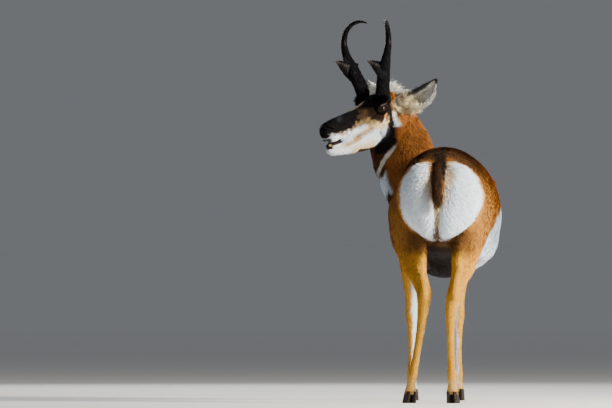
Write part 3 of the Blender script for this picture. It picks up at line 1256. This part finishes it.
def made_coat():
    body, head = body_skin(), head_skin()
    unwrap(body)
    unwrap(head)
    dice = np.random.default_rng(11)
    pieces = body_coat(body, dice) + head_coat(head, dice)
    flesh = [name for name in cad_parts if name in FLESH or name.endswith("_leg")]
    settle(body, SKIN, "coat_tan", *flesh)
    settle(head, SKIN, "coat_tan", "head")
    for piece in pieces:
        settle(piece, FUR, "coat_white" if "rump" in piece.name else "coat_tan")


# Horns, ears, eyes, mouth, hoofs and tail

def horn(side):
    sign = SIGNS[side]
    base = in_head(HORN_BASE[0], sign * HORN_BASE[1], HORN_BASE[2])
    out = HEAD_LEFT * sign

    def form(name, rows, rings, points):
        placed = [
            (*(base + LEVEL_FORWARD * forward + out * outward + Vector((0, 0, up))), wide, deep, deep)
            for forward, outward, up, deep, wide in rows
        ]
        return swept(name, placed, [out] * len(rows), rings, points)

    forms = [form("beam", HORN_BEAM, 110, 40), form("prong", HORN_PRONG, 40, 32)]
    if side == "right":
        forms.append(form("snag", HORN_SNAG, 24, 24))
    made = fused(f"horn_{side}_sheath", forms, HORN_VOXEL, 8)
    points, normals, _ = read(made.data)
    height = points[:, 2] - base.z
    low = rise(height, 0.17, 0.06)
    ridges = ripple(points * (1, 1, 0.16), 0.003, 21 + sign)
    lumps = ripple(points * (1, 1, 0.45), 0.0065, 23 + sign)
    fine = ripple(points, 0.0022, 25 + sign)
    move = ridges * (0.00025 + 0.0002 * low) + lumps * (0.0002 + 0.0003 * low) + fine * 0.0001 * low - 0.0005
    write_points(made.data, points + normals * move[:, None])
    pale = rise(ridges * 0.55 + lumps * 0.45, 0.25, 1.1) * 0.03 * (0.35 + 0.65 * low)
    pale = pale + 0.08 * rise(height, 0.205, 0.252) * rise(ripple(points, 0.006, 31), -0.6, 0.9)
    pale = pale + 0.2 * rise((points - np.array(base)) @ np.array(LEVEL_FORWARD), 0.07, 0.094)
    unwrap(made)
    painted(made, blended(HORN_DARK, HORN_WORN, np.clip(pale, 0, 1)), HORN, "horn_black", f"horn_{side}")


def ear(side):
    sign = SIGNS[side]
    tip, facing = (Vector(values) for values in EAR_TIPS[side])
    base = in_head(EAR_BASE[0], sign * EAR_BASE[1], EAR_BASE[2])
    axis = (tip - base).normalized()
    facing = (facing - axis * facing.dot(axis)).normalized()
    across = axis.cross(facing)
    rows = []
    for share, half, wrap, stand_off in smooth_rows(EAR_SECTIONS, 64):
        wrap = math.radians(wrap)
        half = max(half, 0.0012)
        radius = half / math.sin(wrap) if wrap < math.pi / 2 else half
        centre = base + axis * (EAR_LENGTH * share) + facing * (0.01 * share * share - stand_off)
        centre = centre + across * (sign * EAR_SAG * math.sin(math.pi * share))
        angles = [wrap * (2 * i / (EAR_STEPS - 1) - 1) for i in range(EAR_STEPS)]
        rows.append([centre + facing * radius * (1 - math.cos(a)) + across * radius * math.sin(a) for a in angles])
    shell = object_from(bridged(rows, open_rings=True)[0], f"ear_{side}_skin")
    thicken = shell.modifiers.new("Thicken", "SOLIDIFY")
    thicken.thickness = 0.0024
    thicken.offset = 0
    applied(shell)

    def place(at):
        offset = at - np.array(base)
        along = offset @ np.array(axis) / EAR_LENGTH
        widths = np.interp(along, *np.array(EAR_SECTIONS).T[:2])
        sag = sign * EAR_SAG * np.sin(np.pi * np.clip(along, 0, 1))
        return along, (offset @ np.array(across) - sag) / np.maximum(widths, 0.002)

    def colour(at, out):
        along, wide = place(at)
        upper = rise(-wide * sign, 0.62, 0.92) * (sign > 0)
        lower = rise(wide * sign, 0.86, 1.02)
        back_from, back_to, inner_from, inner_to = EAR_TIP_BLACK[side]
        black = most(rise(along, back_from, back_to), 0.9 * upper * rise(along, 0.1, 0.3), 0.4 * lower)
        outside = blended(TAN, BLACK * 1.5, 0.95 * black)
        inner = Paint(blended(CREAM * 0.35 + WHITE * 0.65, CREAM * 0.7 + WHITE * 0.3, rise(along, 0.4, 0.15)))
        inner.lay(BROWN, 0.22 * rise(np.abs(wide + 0.25 * sign), 0.55, 0.1) * span(along, 0.25, 0.4, 0.55, 0.8))
        rim = most(
            rise(along, inner_from, inner_to),
            upper * rise(along, 0.12, 0.3),
            0.35 * lower * rise(along, 0.5, 0.7),
        )
        inner.lay(BLACK * 1.5, 0.95 * rim)
        return np.where(out[:, None], outside, inner.colour)

    def turned_out(normals):
        return normals @ np.array(facing) < 0

    points, normals, _ = read(shell.data)
    write_colour(shell.data, colour(points, turned_out(normals)) * SKIN_SHADE)
    unwrap(shell)
    dice = np.random.default_rng(51 + sign)
    roots, normals, places = sampled(shell, lambda at: np.full(len(at), DRAFT_SHARE * EAR_HAIR), dice)
    out = turned_out(normals)
    along, wide = place(roots)
    # Inside, long pale hair starts near the edges and lies inward and up
    inward = np.outer(-np.sign(wide) * 0.55, np.array(across)) + np.array(axis)
    fringe = rise(np.abs(wide), 0.45, 0.9) * rise(0.85 - along, 0, 0.3)
    foot = rise(along, 0.28, 0.12)
    hair = {
        "roots": roots, "normals": normals, "places": places, "colours": colour(roots, out),
        "lies": np.where(out[:, None], np.array(axis), inward),
        "length": np.where(out, 0.0065, 0.007 + 0.014 * fringe + 0.01 * foot),
        "width": 0.0013,
        "lift": np.where(out, 0.0016, 0.002 + 0.006 * fringe + 0.009 * foot),
        "curve": 4.0,
        "spread": 0.22,
    }
    coat = tufts(f"coat_ear_{side}", hair, dice)
    settle(shell, SKIN, "coat_tan", f"ear_{side}")
    settle(coat, FUR, "coat_tan")


def eye(side):
    centre, outward, along, across = eye_frame(SIGNS[side])
    ball = ellipsoid(f"eye_{side}_ball", centre, (along, across, outward), [EYE_RADIUS] * 3, 64, 48)
    offset = (read(ball.data)[0] - np.array(centre)) / EYE_RADIUS
    a, b = offset @ np.array(along), offset @ np.array(across)
    coat = Paint(EYE_RIM)
    coat.lay(IRIS, rise(np.hypot(a, b), 0.66, 0.6))
    coat.lay(PUPIL, rise(np.hypot(a / 0.46, b / 0.26), 1.06, 0.9))
    painted(ball, coat.colour, EYE, "eye_dark", f"eye_{side}")
    # Lids: a dark rim round the opening, thicker above, that lies on the ball
    rings = []
    steps, around = 72, 12
    for i in range(steps):
        angle = 2 * math.pi * i / steps
        height = math.copysign(abs(math.sin(angle)) ** 1.2, math.sin(angle)) * LID_HALF[1]
        flat = along * math.cos(angle) * LID_HALF[0] + across * height
        spot = centre + flat + outward * math.sqrt(max(EYE_RADIUS**2 - flat.length_squared, 0))
        away = (spot - centre).normalized()
        aside = flat.normalized()
        thick = 0.0014 + 0.0007 * max((across * height).dot(HEAD_UP), 0) / LID_HALF[1]
        rings.append([
            spot + away * (math.cos(t) * thick + 0.0003) + aside * math.sin(t) * thick * 1.3
            for t in np.linspace(0, 2 * math.pi, around, endpoint=False)
        ])
    lids = object_from(bridged(rings, closed_path=True)[0], f"eye_{side}_lids")
    painted(lids, BLACK * 1.2, MOUTH, "eye_dark")


def mouth():
    tongue = ellipsoid("tongue", in_head(0.181, 0, -0.078), HEAD_AXES, (0.033, 0.015, 0.015), 40, 26)
    forward, _, up = head_place(read(tongue.data)[0])
    coat = Paint(TONGUE_DARK)
    coat.lay(CREAM * 0.35, rise(np.hypot(forward - 0.2036, up + 0.0745), 0.005, 0.003))
    coat.lay(CREAM * 0.3 + WHITE * 0.5, rise(0.198 - forward, 0, 0.005) * rise(-0.077 - up, 0, 0.003))
    painted(tongue, coat.colour, MOUTH, "coat_dark")
    bm = bmesh.new()
    teeth = 8
    for angle in np.radians(np.linspace(-66, 66, teeth)).tolist():
        place = in_head(0.1895 + 0.014 * math.cos(angle), 0.0112 * math.sin(angle), -0.08)
        out = HEAD_FORWARD * math.cos(angle) + HEAD_LEFT * math.sin(angle)
        axes = (out.cross(HEAD_UP), out, HEAD_UP + out * 0.3)
        add_ball(bm, place, axes, (0.0019, 0.0014, 0.0042), 16, 12)
    painted(object_from(bm, "teeth"), TOOTH, MOUTH, "coat_white")


def hoof(name, foot, inner):
    foot_x, foot_y, turn = foot
    length, half_width = CLAW_SIZES[name[:4]]
    rings = []
    for height, spread, shift in smooth_rows(CLAW_PROFILE, 44):
        ridged = spread * (1 + 0.007 * math.sin(height * 1500) * min(height / 0.006, 1))
        outline = []
        for angle in np.linspace(0, 2 * math.pi, 48, endpoint=False).tolist():
            across, along = 0.5 + 0.5 * math.cos(angle), math.sin(angle)
            x = (0.0008 + across * half_width * (1 - 0.62 * max(-along, 0) ** 2)) * ridged
            outline.append(Vector((inner * x, along * length * ridged + shift, max(height, 0))))
        rings.append(outline)
    claw = loft(f"{name}_claw", rings)
    claw.data.transform(Matrix.Translation((foot_x, foot_y, 0)) @ Matrix.Rotation(turn, 4, "Z"))
    top = Vector((foot_x, foot_y, CORONET_HEIGHT + 0.002))
    kept_side(claw, top, Vector((0, -math.sin(CORONET_SLOPE), -math.cos(CORONET_SLOPE))))
    worn = rise(ripple(read(claw.data)[0] * (1, 1, 3), 0.006, 61), 0, 1.2)
    painted(claw, blended(HOOF_DARK, HOOF_WORN, 0.6 * worn), HOOF, "hoof_black", name)


def tail():
    rows = [
        (0, 0.398 + 0.062 * math.sin(share * 1.75), 0.797 - 0.12 * share, half, thick, thick)
        for share, half, thick in TAIL_SECTIONS
    ]
    core = swept("tail_core", rows, [(1, 0, 0)] * len(rows), points=32)

    def colour(at):
        x, _, z = at.T
        coat = Paint(blended(BROWN, DARK, np.full(len(at), 0.85)))
        coat.lay(ORANGE * 0.6, 0.6 * rise(np.abs(x), 0.01, 0.015) * rise(z, 0.7, 0.76))
        coat.lay(CREAM, 0.95 * rise(0.69 - z, 0, 0.018))
        return coat.colour

    write_colour(core.data, colour(read(core.data)[0]) * SKIN_SHADE)
    unwrap(core)
    dice = np.random.default_rng(71)
    roots, normals, places = sampled(core, lambda at: np.full(len(at), DRAFT_SHARE * TAIL_HAIR), dice)
    low = rise(0.8 - roots[:, 2], 0, 0.12)
    hair = {
        "roots": roots, "normals": normals, "places": places, "colours": colour(roots),
        "lies": np.array((0, 0.1, -1)), "length": 0.014 + 0.03 * low * low, "width": 0.0018,
        "lift": 0.002 + 0.003 * low, "curve": 3.0, "spread": 0.16,
    }
    coat = tufts("coat_tail", hair, dice, LONG_TUFT)
    settle(core, SKIN, "coat_dark", "tail")
    settle(coat, FUR, "coat_dark")


# Floor, light and camera

def stage():
    bm = bmesh.new()
    bmesh.ops.create_grid(bm, x_segments=1, y_segments=1, size=200)
    floor = object_from(bm, "floor")
    material = bpy.data.materials.new("floor_pale")
    material.use_nodes = True
    nodes, links = material.node_tree.nodes, material.node_tree.links
    shader = nodes["Principled BSDF"]
    shader.inputs["Roughness"].default_value = 0.9
    shader.inputs["Specular IOR Level"].default_value = 0.1
    place = nodes.new("ShaderNodeTexCoord")
    reach = nodes.new("ShaderNodeVectorMath")
    reach.operation = "LENGTH"
    fade = nodes.new("ShaderNodeMapRange")
    fade.inputs["From Min"].default_value, fade.inputs["From Max"].default_value = FLOOR_FADE
    tone = nodes.new("ShaderNodeMix")
    tone.data_type = "RGBA"
    tone.inputs["A"].default_value = FLOOR_NEAR
    tone.inputs["B"].default_value = (1, 1, 1, 1)
    links.new(place.outputs["Object"], reach.inputs[0])
    links.new(reach.outputs["Value"], fade.inputs["Value"])
    links.new(fade.outputs["Result"], tone.inputs["Factor"])
    links.new(tone.outputs["Result"], shader.inputs["Base Color"])
    floor.data.materials.append(material)

    world = bpy.data.worlds.new("studio")
    world.use_nodes = True
    background = world.node_tree.nodes["Background"]
    background.inputs["Color"].default_value = WORLD_COLOUR
    background.inputs["Strength"].default_value = WORLD_STRENGTH
    bpy.context.scene.world = world
    for name, (place, size, energy, colour) in LIGHTS.items():
        light = bpy.data.lights.new(name, "AREA")
        light.energy = energy
        light.size = size
        light.color = colour
        lamp = linked(name, light)
        lamp.location = place
        lamp.rotation_euler = (LIT_PLACE - Vector(place)).to_track_quat("-Z", "Y").to_euler()


def camera():
    data = bpy.data.cameras.new("camera")
    data.sensor_width = 36
    data.lens = data.sensor_width * CAMERA_DISTANCE / VIEW_WIDTH
    data.clip_end = 300
    made = linked("camera", data)
    x, y, z = VIEW_CENTRE
    made.location = (x + SHIFT.x, y + SHIFT.y + CAMERA_DISTANCE, z)
    made.rotation_euler = (math.radians(90), 0, math.radians(180))
    bpy.context.scene.camera = made


made_coat()
for side in SIGNS:
    horn(side)
    eye(side)
for side in SIGNS:
    ear(side)
mouth()
for foot_name, foot_place in FEET.items():
    hoof(f"{foot_name}_hoof_a", foot_place, 1)
    hoof(f"{foot_name}_hoof_b", foot_place, -1)
tail()
stage()
camera()
